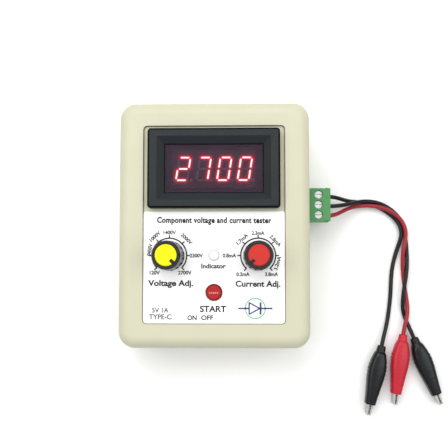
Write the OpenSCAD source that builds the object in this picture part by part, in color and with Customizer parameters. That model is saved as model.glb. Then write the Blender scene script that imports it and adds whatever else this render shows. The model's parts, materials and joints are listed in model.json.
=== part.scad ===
// Component tester: a small bench instrument in a two-shell box. The panel carries a four-digit meter,
// a voltage knob, a current knob, an indicator and a start button. A USB inlet and a power switch are in
// the bottom wall, and a three-clip test lead plugs into the right wall.
// X runs to the right of the panel, Y up the panel and Z out of it. The box lies on its back on Z = 0.

/* [Case] */
// Width of the case
case_w = 70; // [66:0.5:90]
// Height of the case, up the panel
case_h = 90; // [86:0.5:120]
// Thickness of the case, front to back
case_t = 28; // [26:0.5:40]
// Wall thickness
wall = 2; // [1.5:0.1:3]
// Corner radius seen from the front
corner_r = 6; // [4:0.5:10]
// Rounding of the front edge
front_r = 4.5; // [1:0.5:5]
// Rounding of the back edge
back_r = 1.5; // [0.5:0.5:3]
// Height of the joint between the two shells
split_z = 14; // [12:0.5:18]
// Width of the panel recess
recess_w = 51.8; // [50:0.2:60]
// Height of the panel recess
recess_h = 72.2; // [70.2:0.2:80]
// Depth of the panel recess
recess_d = 1; // [0.5:0.1:2]

/* [Panel meter] */
// Width of the meter bezel
bezel_w = 48; // [46:0.5:51]
// Height of the meter bezel
bezel_h = 29; // [27:0.5:30]
// How far the bezel stands above the recess floor
bezel_rise = 4; // [2:0.5:6]
// Height of the meter's centre above the panel's centre
meter_y = 20.2; // [19.6:0.1:21.4]
// Height of one digit
digit_h = 9.14; // [8:0.1:10]
// Distance between digits
digit_pitch = 7.5; // [7:0.1:8]

/* [Knobs and button] */
// Distance of each knob from the panel's centre line
knob_x = 16; // [14:0.1:20]
// Height of the knob centres
knob_y = -11.5; // [-14:0.1:-9]
// Knob radius at the base
knob_r = 5.4; // [5:0.1:6.6]
// Height of a knob
knob_high = 13.8; // [10:0.1:16]
// Number of flutes round a knob
flutes = 16; // [8:1:24]
// Angle that each knob turns through
knob_sweep = 270; // [240:5:300]
// Height of the start button's centre
button_y = -24.7; // [-28:0.1:-22]
// Radius of the start button
button_r = 2.7; // [2.3:0.1:3]
// Height of the indicator's centre
lamp_y = -11.3; // [-14:0.1:-8]

/* [Test lead] */
// Height of the socket's centre up the right wall
socket_y = 8; // [0:0.5:16]
// Distance between the socket's pins
pole_pitch = 3.81; // [3.5:0.01:5.08]
// Radius of a lead wire
wire_r = 0.8; // [0.6:0.1:1.2]
// Length of a clip from the boot's tail to the jaw tips
clip_long = 27; // [25:0.5:32]

/* [Sub-part] */
// Which sub-part to build

/* [Hidden] */
$fn = 48;
eps = 0.01;
inner_w = case_w - 2 * wall;
inner_h = case_h - 2 * wall;
inner_r = corner_r - wall;
recess_z = case_t - recess_d;
plate_z = recess_z - 2;          // underside of the panel plate
floor_z = wall;
lip_w = 0.9;
lip_h = 1.5;
seam = 0.3;                      // groove that shows where the shells meet
boss_x = case_w / 2 - 5;
boss_y = case_h / 2 - 5;
boss_r = 3.5;
case_screw_r = 1.3;

main_z = 4.8;                    // main board, underside
board_t = 1.6;
main_top = main_z + board_t;
main_w = inner_w - 1.2;
main_h = inner_h - 1.2;
main_posts = [[-29, 29], [29, 29], [-29, -29], [29, -29]];
ctrl_z = 15.9;                   // control board, underside
ctrl_top = ctrl_z + board_t;
ctrl_low = -42;
ctrl_high = 6.4;
ctrl_posts = [[-28.5, 3], [28.5, 3], [-28.5, -31], [28.5, -31]];
board_screw_r = 1;

label_t = 0.25;
label_x = recess_w / 2 - 0.2;
label_low = 0.2 - recess_h / 2;
label_high = 4.6;
shaft_r = 3;
shaft_hole_r = 3.6;
button_hole_r = button_r + 0.3;
lamp_r = 1.85;

bezel_top = recess_z + bezel_rise;
frame_w = 5.7;                   // how much smaller the bezel's opening is than the bezel
frame_h = 4.8;
tube_w = 45;
tube_h = 26;
tube_wall = 1.2;
tube_low = 12;
window_w = 36.2;
window_h = 18.1;
pane_w = 38.6;
pane_h = 20.1;
pane_top = 28.6;
pane_t = 1;
display_w = 30.6;
display_h = 14;
display_top = 27.3;
meter_board_z = 18.5;
meter_board_top = meter_board_z + board_t;
slant = 9;
bar_t = 0.85;                    // thickness of a digit's bars
bar_gap = 0.25;
digit_w = 4.9;

knob_z = recess_z + 0.9;
knob_top = knob_z + knob_high;
cap_r = 3.75;
cap_low = knob_top - 0.8;
cap_top = knob_top + 0.4;
pointer_in = 2.2;                // where the pointer starts, from the knob's centre
pointer_w = 1.2;

socket_long = 9.2;
socket_w = 12.6;
socket_h = 7.25;
socket_x = case_w / 2 - socket_long;
pole_z = 10.1;
plug_x = case_w / 2 + 0.5;
plug_end = plug_x + 8;
plug_w = 12.3;
plug_low = 5.9;
plug_high = 17;
entry_x = plug_end - 3.5;        // where each wire ends inside the plug

clip_z = 3;
clip_wide = 3.6;                 // half the boot's greatest width
clip_half = 3;                   // half the boot's thickness
pin_u = 14;                      // clip pivot, measured from the boot's tail
pin_r = 0.7;
jaw_half = 2.1;                  // half the thickness of the fixed jaw
jaw_inner = 1.4;                 // half the thickness of the moving jaw where it nests
sheet = 0.45;
flange = 0.4;
// Each clip: tail x, tail y, heading, and the side its moving jaw is on
clips = [[64.7, -46.2, -102.5, -1], [73.1, -41.8, -98.3, 1], [77.2, -43.2, -69, -1]];

// The three wires run twisted to the bend: centre, heading, twist and spread at each station
run = [[52, 9, 5.2], [58, 9.8, 2.15], [63.8, 9, 1.95], [69.1, 6.4, 1.85], [73, 2.4, 1.85],
  [74.3, -2.8, 1.85]];
run_heading = [5, 0, -18, -38, -62, -88];
run_twist = [0, -40, -85, -120, -145, -155];
run_spread = [1.6, 1.05, 1.03, 1.03, 1.03, 1.03];
// The middle and right wires stay twisted as a pair below the bend
pair = [[74.5, -9.1, 1.8], [74.3, -17, 1.8], [74.1, -25, 1.8], [74.2, -31, 1.8], [74.4, -35.4, 1.9]];
pair_twist = [150, 230, 300, 360, 440];
pair_spread = 0.97;
// The left wire runs on its own below the bend
left_run = [[71.3, -9.1, 0.95], [69.3, -17, 0.95], [68.7, -27, 0.95], [67.3, -36.9, 1.05]];

// ---------- shared shapes ----------

module rounded(w, h, r) {
  square([w - 2 * r, h], center = true);
  square([w, h - 2 * r], center = true);
  for (sx = [-1, 1], sy = [-1, 1]) translate([sx * (w / 2 - r), sy * (h / 2 - r)]) circle(r);
}

module slab(w, h, z0, z1) {
  translate([-w / 2, -h / 2, z0]) cube([w, h, z1 - z0]);
}

module rounded_slab(w, h, r, z0, z1) {
  translate([0, 0, z0]) linear_extrude(z1 - z0) rounded(w, h, r);
}

module rod(r, z0, z1) {
  translate([0, 0, z0]) cylinder(r = r, h = z1 - z0);
}

module at(points) {
  for (p = points) translate([p[0], p[1], 0]) children();
}

module edge_section(reach, high, round) {
  square([reach, high - round]);
  square([reach - round, high]);
  intersection() {
    translate([reach - round, high - round]) circle(round);
    translate([reach - round, high - round]) square(round);
  }
}

// A block whose upright corners and top edge are both rounded
module soft_block(w, h, high, corner, round) {
  for (m = [0, 1]) mirror([m, 0, 0]) rotate([90, 0, 0])
    linear_extrude(h - 2 * corner, center = true) edge_section(w / 2, high, round);
  for (m = [0, 1]) mirror([0, m, 0]) translate([0, h / 2 - corner, 0]) rotate([90, 0, 90])
    linear_extrude(w - 2 * corner, center = true) edge_section(corner, high, round);
  for (c = [[1, 1, 0], [-1, 1, 90], [-1, -1, 180], [1, -1, 270]])
    translate([c[0] * (w / 2 - corner), c[1] * (h / 2 - corner), 0]) rotate([0, 0, c[2]])
      rotate_extrude(angle = 90) edge_section(corner, high, round);
}

// An upright rectangular funnel with straight sloping sides
module funnel(low_w, low_h, top_w, top_h, z0, z1) {
  intersection() {
    rotate([90, 0, 0]) linear_extrude(2 * top_h, center = true)
      polygon([[-low_w / 2, z0], [low_w / 2, z0], [top_w / 2, z1], [-top_w / 2, z1]]);
    rotate([90, 0, 90]) linear_extrude(2 * top_w, center = true)
      polygon([[-low_h / 2, z0], [low_h / 2, z0], [top_h / 2, z1], [-top_h / 2, z1]]);
  }
}

module pan_screw(head_r, head_t, r, z_head, z_end, slot) {
  // the head lies on z_head and the shank runs to z_end, on the other side of it
  s = z_end > z_head ? 1 : -1;
  difference() {
    union() {
      translate([0, 0, z_head]) mirror([0, 0, s > 0 ? 1 : 0]) cylinder(r = head_r, h = head_t);
      translate([0, 0, z_head]) mirror([0, 0, s > 0 ? 0 : 1]) cylinder(r = r, h = abs(z_end - z_head));
    }
    for (a = [0, 90]) rotate([0, 0, a])
      translate([-head_r * 0.6, -slot / 2, z_head - s * head_t - (s > 0 ? eps : head_t * 0.6)])
        cube([head_r * 1.2, slot, head_t * 0.6 + eps]);
  }
}

// Smooth run through points, and the tube around it
function unit(v) = v / norm(v);
function knot(p, i) = i < 0 ? 2 * p[0] - p[1]
  : i > len(p) - 1 ? 2 * p[len(p) - 1] - p[len(p) - 2] : p[i];
function spline(a, b, c, d, t) = 0.5 * (2 * b + (c - a) * t + (2 * a - 5 * b + 4 * c - d) * t * t
  + (3 * b - a - 3 * c + d) * t * t * t);
function smooth(p, n) = [for (i = [0 : len(p) - 2], j = [0 : n - 1])
  spline(knot(p, i - 1), knot(p, i), knot(p, i + 1), knot(p, i + 2), j / n), p[len(p) - 1]];

module tube(path, r, sides, upright) {
  n = len(path);
  rings = [for (i = [0 : n - 1])
    let (t = unit(path[min(i + 1, n - 1)] - path[max(i - 1, 0)]),
      s = unit(cross(t, upright)), u = cross(s, t))
    for (k = [0 : sides - 1]) path[i] + r * (cos(360 * k / sides) * s + sin(360 * k / sides) * u)];
  polyhedron(points = rings, faces = concat(
    [[for (k = [0 : sides - 1]) sides - 1 - k]],
    [[for (k = [0 : sides - 1]) (n - 1) * sides + k]],
    [for (i = [0 : n - 2], k = [0 : sides - 1]) let (m = (k + 1) % sides)
      [i * sides + k, i * sides + m, (i + 1) * sides + m, (i + 1) * sides + k]]));
}

// ---------- case ----------

module upper_shell() color("ivory") {
  difference() {
    translate([0, 0, split_z]) soft_block(case_w, case_h, case_t - split_z, corner_r, front_r);
    rounded_slab(inner_w, inner_h, inner_r, split_z - 1, plate_z);
    rounded_slab(inner_w + 2, inner_h + 2, inner_r + 1, split_z - 1, split_z + lip_h + 0.2);
    rounded_slab(recess_w, recess_h, 1.5, recess_z, case_t + 1);
    translate([0, meter_y, 0]) slab(tube_w + 0.5, tube_h + 0.5, plate_z - 1, recess_z + 1);
    for (s = [-1, 1]) translate([s * knob_x, knob_y, 0]) rod(shaft_hole_r, plate_z - 1, recess_z + 1);
    translate([0, lamp_y, 0]) rod(lamp_r + 0.05, plate_z - 1, recess_z + 1);
    translate([0, button_y, 0]) rod(button_hole_r, plate_z - 1, recess_z + 1);
  }
  difference() {
    intersection() {
      for (sx = [-1, 1], sy = [-1, 1]) translate([sx * boss_x, sy * boss_y, 0]) rod(boss_r, split_z, plate_z);
      rounded_slab(inner_w + 0.6, inner_h + 0.6, inner_r + 0.3, split_z, plate_z);
    }
    for (sx = [-1, 1], sy = [-1, 1]) translate([sx * boss_x, sy * boss_y, 0])
      rod(case_screw_r, split_z - 1, split_z + 7);
  }
  difference() {
    at(ctrl_posts) rod(2.3, ctrl_top, plate_z);
    at(ctrl_posts) rod(board_screw_r, ctrl_top - 1, ctrl_top + 4.5);
  }
}

module lower_shell() color("ivory") {
  difference() {
    union() {
      difference() {
        translate([0, 0, split_z]) mirror([0, 0, 1])
          soft_block(case_w, case_h, split_z, corner_r, back_r);
        rounded_slab(inner_w, inner_h, inner_r, floor_z, split_z + 1);
      }
      intersection() {
        for (sx = [-1, 1], sy = [-1, 1])
          translate([sx * boss_x, sy * boss_y, 0]) rod(boss_r, floor_z - 1, split_z);
        rounded_slab(inner_w + 0.6, inner_h + 0.6, inner_r + 0.3, floor_z - 1, split_z);
      }
      difference() {
        rounded_slab(inner_w + 2 * lip_w, inner_h + 2 * lip_w, inner_r + lip_w, split_z, split_z + lip_h);
        rounded_slab(inner_w, inner_h, inner_r, split_z - 1, split_z + lip_h + 1);
        for (sx = [-1, 1], sy = [-1, 1])
          translate([sx * boss_x, sy * boss_y, 0]) rod(boss_r + 0.4, split_z - 1, split_z + lip_h + 1);
      }
      at(main_posts) rod(2.5, floor_z, main_z);
    }
    for (sx = [-1, 1], sy = [-1, 1]) translate([sx * boss_x, sy * boss_y, 0]) {
      rod(2.8, -1, 8);
      rod(1.5, 7, split_z + 1);
    }
    at(main_posts) rod(board_screw_r, floor_z + 0.8, main_z + 1);
    difference() {
      rounded_slab(case_w + 1, case_h + 1, corner_r, split_z - seam, split_z);
      rounded_slab(case_w - 2 * seam, case_h - 2 * seam, corner_r - seam, split_z - 1, split_z + 1);
    }
    translate([inner_w / 2 - 1, socket_y - socket_w / 2 - 0.3, main_top - 0.3])
      cube([wall + 2, socket_w + 0.6, 12]);
    translate([usb_x, -inner_h / 2 + 1, usb_mid]) rotate([90, 0, 0])
      linear_extrude(wall + 2) rounded(9.6, 3.9, 1.94);
    translate([switch_x - 2.4, -case_h / 2 - 1, switch_mid - 1.2]) cube([4.8, wall + 2, 2.4]);
  }
}

module case_screws() color("silver")
  for (sx = [-1, 1], sy = [-1, 1]) translate([sx * boss_x, sy * boss_y, 0])
    pan_screw(2.5, 2, case_screw_r, 8, split_z + 6, 0.9);

module front_label() color("white") difference() {
  translate([0, (label_high + label_low) / 2, 0])
    rounded_slab(2 * label_x, label_high - label_low, 0.8, recess_z, recess_z + label_t);
  for (s = [-1, 1]) translate([s * knob_x, knob_y, 0]) rod(shaft_hole_r + 0.1, recess_z - 1, case_t);
  translate([0, lamp_y, 0]) rod(lamp_r + 0.15, recess_z - 1, case_t);
  translate([0, button_y, 0]) rod(button_hole_r + 0.1, recess_z - 1, case_t);
}

// ---------- panel meter ----------

module meter_housing() color("dimgray") translate([0, meter_y, 0]) {
  difference() {
    translate([0, 0, recess_z]) soft_block(bezel_w, bezel_h, bezel_rise, 1.2, 0.6);
    funnel(window_w, window_h, bezel_w - frame_w, bezel_h - frame_h, bezel_top - 2, bezel_top + 0.35);
    slab(window_w, window_h, pane_top - 0.5, bezel_top - 1);
    slab(pane_w, pane_h, recess_z - 1, pane_top);
  }
  difference() {
    rounded_slab(tube_w, tube_h, 1, tube_low, recess_z);
    slab(tube_w - 2 * tube_wall, tube_h - 2 * tube_wall, tube_low - 1, meter_board_top);
    slab(tube_w - 5, tube_h - 5, meter_board_top - 1, recess_z + 1);
    for (s = [-1, 1], e = [-1, 1]) translate([s * tube_w / 2, e * 4.4, 0]) slab(8, 0.8, 17, 26);
  }
  for (m = [0, 1]) mirror([m, 0, 0]) translate([0, 3, 0]) rotate([90, 0, 0]) linear_extrude(6)
    polygon([[tube_w / 2 - 0.5, 19], [tube_w / 2, 19], [tube_w / 2 + 1.3, 24], [tube_w / 2 + 1.3, 24.8],
      [tube_w / 2 - 0.5, 24.8]]);
}

module meter_window() color("purple", 0.5) translate([0, meter_y, 0])
  slab(pane_w, pane_h, pane_top - pane_t, pane_top);

module meter_display() color("gray") translate([0, meter_y, 0])
  slab(display_w, display_h, meter_board_top, display_top);

function lean(p) = [for (q = p) [q[0] + q[1] * tan(slant), q[1]]];
function flat_bar(x, y, l) = [[x - l / 2, y], [x - l / 2 + bar_t / 2, y + bar_t / 2],
  [x + l / 2 - bar_t / 2, y + bar_t / 2], [x + l / 2, y],
  [x + l / 2 - bar_t / 2, y - bar_t / 2], [x - l / 2 + bar_t / 2, y - bar_t / 2]];
function tall_bar(x, y, l) = [for (q = flat_bar(y, x, l)) [q[1], q[0]]];
half_w = (digit_w - bar_t) / 2;
half_h = (digit_h - bar_t) / 2;
flat_l = 2 * half_w - bar_gap;
tall_l = half_h - bar_gap;
bars = [flat_bar(0, half_h, flat_l), tall_bar(half_w, half_h / 2, tall_l),
  tall_bar(half_w, -half_h / 2, tall_l), flat_bar(0, -half_h, flat_l),
  tall_bar(-half_w, -half_h / 2, tall_l), tall_bar(-half_w, half_h / 2, tall_l), flat_bar(0, 0, flat_l)];
// Bars a to g that are lit in each of the four digits
lit = [[0, 1, 3, 4, 6], [0, 1, 2], [0, 1, 2, 3, 4, 5], [0, 1, 2, 3, 4, 5]];
dark = [[2, 5], [3, 4, 5, 6], [6], [6]];

module show_bars(which) translate([0, meter_y, display_top]) linear_extrude(0.15)
  for (i = [0 : 3]) translate([(i - 1.5) * digit_pitch, 0]) for (b = which[i]) polygon(lean(bars[b]));

module meter_segments_lit() color("red") show_bars(lit);

module meter_segments_dark() color("rosybrown") {
  show_bars(dark);
  translate([0, meter_y, display_top]) linear_extrude(0.15)
    for (i = [0 : 3]) translate([(i - 1.5) * digit_pitch + 2.9, -half_h]) circle(0.6);
}

module meter_board() color("darkgreen") {
  translate([0, meter_y, 0]) slab(tube_w - 2 * tube_wall - 0.4, tube_h - 2 * tube_wall - 0.4,
    meter_board_z, meter_board_top);
  translate([8, meter_y, 0]) slab(9, 9, meter_board_z - 1.2, meter_board_z);
  translate([16, meter_y + 6, 0]) slab(3, 2, meter_board_z - 0.8, meter_board_z);
}

plug_a = [-10, meter_y + 4];
plug_b = [-10, meter_y - 8];
module meter_connector() color("white") {
  translate([plug_a[0], plug_a[1], 0]) slab(10, 4.5, meter_board_z - 4.5, meter_board_z);
  translate([plug_b[0], plug_b[1], 0]) slab(10, 4.5, main_top, main_top + 4.5);
}

module meter_wires() color("black") for (i = [-1 : 1]) let (x = plug_a[0] + i * 2.5)
  tube(smooth([[x, plug_a[1], meter_board_z - 4.6], [x, plug_a[1] - 0.6, 12.6], [x, plug_a[1] - 4.2, 11.9],
    [x, plug_b[1] + 2.4, 13.2], [x, plug_b[1] + 0.3, 12.6], [x, plug_b[1], main_top + 4.6]], 2),
    0.5, 8, [1, 0, 0]);

// ---------- knobs ----------

module pot() {
  difference() {
    union() {
      translate([0, -0.8, 0]) slab(9.8, 11.4, ctrl_top, 24);
      rod(4.2, 24, 24.5);
    }
    rod(shaft_r + 0.05, ctrl_top + 0.7, 25);
  }
}

module pot_shaft() {
  difference() {
    rod(shaft_r, ctrl_top + 1, 37.5);
    translate([-0.5, -4, 36]) cube([1, 8, 2]);
  }
}

// The pointer is on the side that is turned to pointer_a
module knob(pointer_a) {
  difference() {
    rotate_extrude() polygon([[0, knob_z], [knob_r - 0.3, knob_z], [knob_r, knob_z + 0.3],
      [knob_r - 0.35, knob_top - 0.5], [knob_r - 0.75, knob_top], [0, knob_top]]);
    rod(shaft_r, knob_z - 1, 37.5);
    difference() {
      rod(4.3, knob_z - 1, knob_z + 2.5);
      rod(3.7, knob_z - 2, knob_z + 3);
    }
    rod(cap_r, cap_low, knob_top + 1);
    for (i = [0 : flutes - 1]) rotate([0, 0, (i + 0.5) * 360 / flutes]) translate([knob_r + 0.25, 0, 0])
      rod(0.65, knob_z + 1, knob_top + 1);
  }
  intersection() {
    rod(cap_r, cap_low - 0.5, cap_top);
    rotate([0, 0, pointer_a]) translate([pointer_in, -pointer_w / 2, cap_low - 0.5])
      cube([cap_r, pointer_w, 3]);
  }
}

module knob_cap(pointer_a) {
  difference() {
    rotate_extrude() polygon([[0, cap_low], [cap_r, cap_low], [cap_r, cap_top - 0.35],
      [cap_r - 0.35, cap_top], [0, cap_top]]);
    rotate([0, 0, pointer_a]) translate([pointer_in, -pointer_w / 2, cap_low - 1])
      cube([cap_r, pointer_w, 3]);
  }
}

module voltage_pot() color("darkslategray") translate([-knob_x, knob_y, 0]) pot();
module current_pot() color("darkslategray") translate([knob_x, knob_y, 0]) pot();
module voltage_pot_shaft() color("whitesmoke") translate([-knob_x, knob_y, 0]) pot_shaft();
module current_pot_shaft() color("whitesmoke") translate([knob_x, knob_y, 0]) pot_shaft();
module voltage_knob() color("black") translate([-knob_x, knob_y, 0]) knob(90 - knob_sweep / 2);
module current_knob() color("black") translate([knob_x, knob_y, 0]) knob(90 + knob_sweep / 2);
module voltage_knob_cap() color("yellow") translate([-knob_x, knob_y, 0]) knob_cap(90 - knob_sweep / 2);
module current_knob_cap() color("tomato") translate([knob_x, knob_y, 0]) knob_cap(90 + knob_sweep / 2);

// ---------- button and indicator ----------

module start_switch() color("dimgray") translate([0, button_y, 0]) difference() {
  slab(7, 7, ctrl_top, 22.3);
  rod(1.55, 18, 23);
}

module start_plunger() color("white") translate([0, button_y, 0]) rod(1.5, 20, 24.1);

module start_button() color("firebrick") translate([0, button_y, 0]) rotate_extrude()
  polygon([[0, 24.1], [4, 24.1], [4, 24.7], [button_r, 24.7], [button_r, 28.6], [button_r - 0.4, 29],
    [0, 29]]);

module indicator_lens() color("white") translate([0, lamp_y, 0]) rotate_extrude()
  polygon([[0, 20.7], [1.5, 20.7], [1.5, 24.2], [2.6, 24.2], [2.6, plate_z], [lamp_r, plate_z],
    [lamp_r, 27.4], [lamp_r - 0.35, 27.75], [0, 27.85]]);

module indicator_led() color("lightyellow") translate([0, lamp_y, 0]) {
  slab(3.2, 2.8, ctrl_top, ctrl_top + 1.2);
  rod(1.2, ctrl_top + 1.2, ctrl_top + 2.4);
}

// ---------- boards ----------

usb_x = -20;
usb_mid = main_top + 1.63;
switch_x = -5.4;
switch_mid = 8.3;

module control_board() color("darkgreen") difference() {
  translate([-32, ctrl_low, ctrl_z]) cube([64, ctrl_high - ctrl_low, board_t]);
  for (s = [-1, 1]) translate([s * 30, ctrl_low + 2, 0]) slab(8, 8.4, ctrl_z - 1, ctrl_top + 1);
  at(ctrl_posts) rod(board_screw_r + 0.1, ctrl_z - 1, ctrl_top + 1);
}

module control_board_screws() color("silver") at(ctrl_posts)
  pan_screw(1.9, 1.3, board_screw_r, ctrl_z, ctrl_top + 4, 0.6);

module board_link() color("black") {
  translate([14, -38, 0]) slab(20.3, 2.5, main_top, ctrl_z);
}

module main_board() color("darkgreen") difference() {
  slab(main_w, main_h, main_z, main_top);
  for (sx = [-1, 1], sy = [-1, 1]) translate([sx * (main_w / 2 - 2), sy * (main_h / 2 - 2), 0])
    slab(10, 10, main_z - 1, main_top + 1);
  at(main_posts) rod(board_screw_r + 0.1, main_z - 1, main_top + 1);
}

module main_board_screws() color("silver") at(main_posts)
  pan_screw(1.9, 1.3, board_screw_r, main_top, floor_z + 1.2, 0.6);

module usb_port() color("silver") translate([usb_x, 0, usb_mid]) {
  difference() {
    translate([0, -37.25, 0]) rotate([90, 0, 0]) linear_extrude(7.35) rounded(8.94, 3.26, 1.62);
    translate([0, -38.25, 0]) rotate([90, 0, 0]) linear_extrude(7.35) rounded(8.34, 2.66, 1.32);
  }
}

module usb_tongue() color("black") translate([usb_x, 0, usb_mid])
  translate([-3.35, -43.6, -0.35]) cube([6.7, 5.35, 0.7]);

module power_switch() color("dimgray") translate([switch_x, -40.5, 0]) difference() {
  slab(8.6, 4, main_top, main_top + 3.8);
  slab(6, 2.4, switch_mid - 1.5, switch_mid + 1.5);
  translate([-2.4, -3, switch_mid - 1.2]) cube([4.8, 3, 2.4]);
}

module power_switch_slider() color("black") translate([switch_x - 1.1, -40.5, switch_mid]) {
  translate([-1.6, -0.9, -1.2]) cube([3.2, 1.8, 2.4]);
  translate([-1, -4.5, -0.9]) cube([2, 4, 1.8]);
}

module test_socket() color("green") difference() {
  translate([socket_x, socket_y - socket_w / 2, main_top]) cube([socket_long, socket_w, socket_h]);
  translate([socket_x + 1.2, socket_y - socket_w / 2 + 0.8, main_top + 0.8])
    cube([socket_long, socket_w - 1.6, socket_h - 1.6]);
  for (i = [-1 : 1]) translate([socket_x - 1, socket_y + i * pole_pitch - 0.5, pole_z - 0.5])
    cube([3, 1, 1]);
}

module test_socket_pins() color("gainsboro") for (i = [-1 : 1])
  translate([socket_x + 0.4, socket_y + i * pole_pitch - 0.5, pole_z - 0.5]) cube([6.6, 1, 1]);

module transformer_core() color("dimgray") translate([-14, -13, main_top]) difference() {
  slab(17, 12, 0, 8.4);
  slab(11.4, 13, 1.6, 3.2);
  slab(11.4, 13, 5.2, 6.8);
  for (s = [-1, 1]) translate([s * 4.2, 0, 0]) slab(3, 13, 1.6, 6.8);
}

module transformer_coil() color("gold") translate([-14, -13, main_top]) difference() {
  slab(11, 15.4, 1.8, 6.6);
  slab(5.4, 16, 3.2, 5.2);
}

module can(r, l, x, y) {
  translate([x - l / 2, y, main_top + r]) rotate([0, 90, 0]) rotate_extrude()
    polygon([[0, 0], [r - 0.3, 0], [r, 0.3], [r, 1.2], [r - 0.35, 1.5], [r, 1.8], [r, l - 0.3], [r - 0.3, l],
      [0, l]]);
}

module electrolytics() color("midnightblue") {
  can(4, 13, 13, -14);
  can(3.15, 11, 13, -24);
  can(2.5, 11, -20, 31);
}

module hv_capacitor() color("darkred") translate([-13, -28, 0]) {
  slab(13, 6, main_top, main_top + 8.4);
}

module diodes() color("black") for (i = [0 : 2]) translate([-27, 6 + 5 * i, 0]) {
  translate([-2.6, 0, main_top + 1.35]) rotate([0, 90, 0]) cylinder(r = 1.35, h = 5.2);
  for (s = [-1, 1]) translate([s * 3.1, 0, 0]) slab(1.2, 0.8, main_top, main_top + 1.6);
}

module board_chips() color("black") {
  translate([4, 12, 0]) slab(9.9, 3.9, main_top, main_top + 1.7);
  translate([6, 24, 0]) slab(5, 5, main_top, main_top + 1.2);
  translate([1, -4, 0]) slab(6.5, 6, main_top, main_top + 2.3);
  translate([8, -32.5, 0]) slab(4.9, 3.9, main_top, main_top + 1.6);
}

// ---------- test lead ----------

module test_plug() color("green") difference() {
  union() {
    translate([plug_x, socket_y - plug_w / 2, plug_low])
      cube([plug_end - plug_x, plug_w, plug_high - plug_low]);
    translate([socket_x + 1.7, socket_y - 5.15, 7.55]) cube([plug_x - socket_x - 1.7, 10.3, 4.95]);
    translate([plug_end - 1.6, socket_y - plug_w / 2 - 0.3, plug_high - 3.6]) cube([0.8, plug_w + 0.6, 2.4]);
  }
  for (i = [-1 : 1]) translate([0, socket_y + i * pole_pitch, 0]) {
    translate([socket_x + 1, -0.9, pole_z - 0.9]) cube([7.2, 1.8, 1.8]);
    translate([entry_x, -1.4, pole_z - 1.8]) cube([5, 2.8, 2.8]);
    translate([plug_x + 3.6, 0, 0]) rod(1.55, plug_high - 3, plug_high + 1);
  }
}

module test_plug_screws() color("silver") for (i = [-1 : 1])
  translate([plug_x + 3.6, socket_y + i * pole_pitch, 0]) difference() {
    rod(1.45, plug_high - 3, plug_high - 0.9);
    translate([-2, -0.25, plug_high - 1.6]) cube([4, 0.5, 1]);
  }

function braid(i, phase) = let (a = run_twist[i] + phase, r = run_spread[i], h = run_heading[i])
  run[i] + r * [-cos(a) * sin(h), cos(a) * cos(h), sin(a)];
function pair_at(i, phase) = pair[i]
  + pair_spread * [cos(pair_twist[i] + phase), 0, sin(pair_twist[i] + phase)];
function on_clip(c, u, z) = [clips[c][0] + u * cos(clips[c][2]), clips[c][1] + u * sin(clips[c][2]), z];
function leave_plug(i) = [[entry_x, socket_y + i * pole_pitch, pole_z - 0.4],
  [46, socket_y + i * (pole_pitch - 0.3), pole_z - 0.7]];
wire_end = 4;
wire_paths = [
  concat(leave_plug(1), [for (i = [0 : 5]) braid(i, -30)], left_run,
    [on_clip(0, -3, 2.7), on_clip(0, wire_end, clip_z)]),
  concat(leave_plug(-1), [for (i = [0 : 5]) braid(i, 210)], [for (i = [0 : 4]) pair_at(i, 0)],
    [on_clip(1, -2, clip_z), on_clip(1, wire_end, clip_z)]),
  concat(leave_plug(0), [for (i = [0 : 5]) braid(i, 90)], [for (i = [0 : 4]) pair_at(i, 180)],
    [on_clip(2, -2, 2.8), on_clip(2, wire_end, clip_z)])];

module test_wire_left() color("black") tube(smooth(wire_paths[0], 2), wire_r, 8, [0, 0, 1]);
module test_wire_middle() color("darkred") tube(smooth(wire_paths[1], 2), wire_r, 8, [0, 0, 1]);
module test_wire_right() color("black") tube(smooth(wire_paths[2], 2), wire_r, 8, [0, 0, 1]);

module clip_frame(c) translate([clips[c][0], clips[c][1], clip_z]) rotate([0, 0, clips[c][2]])
  mirror([0, clips[c][3] < 0 ? 1 : 0, 0]) children();

// Side outline of a jaw's back, from the handle to the tip, as distances from the centre line
tip_u = clip_long;
back = [[7, 2.3], [9, 2.6], [12, 2.55], [23, 1.15], [tip_u, 0.75]];
bite = 0.16;
nose_u = 18.5;

module back_strip(outline) polygon(concat(outline,
  [for (i = [len(outline) - 1 : -1 : 0]) [outline[i][0], outline[i][1] - sheet]]));

module cheek() {
  polygon([[7, 2.3], [9, 2.6], [12, 2.55], [23, 1.15], [tip_u, 0.75], [tip_u, 0.6],
    for (i = [0 : 6]) each [[tip_u - i, bite], [tip_u - i - 0.5, 0.55]],
    [nose_u + 0.5, 0.7], [pin_u + 2, 0.6], [pin_u - 3, 1], [7, 1.7]]);
  translate([pin_u, 0]) circle(1.7);
}

module sheet_pair(outer) for (s = [0, 1]) mirror([0, 0, s])
  translate([0, 0, outer - flange]) linear_extrude(flange) children();

module clip_base(c) color("silver") clip_frame(c) mirror([0, 1, 0]) difference() {
  union() {
    linear_extrude(2 * jaw_half, center = true) back_strip(concat([[4, 1.4]], back));
    sheet_pair(jaw_half) cheek();
    translate([tip_u - 0.5, bite, -jaw_half]) cube([0.5, 0.5, 2 * jaw_half]);
    translate([4, 0, 0]) rotate([0, 90, 0]) cylinder(r = 1, h = 2.2);
  }
  translate([pin_u, 0, 0]) rod(pin_r, -3, 3);
}

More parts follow.
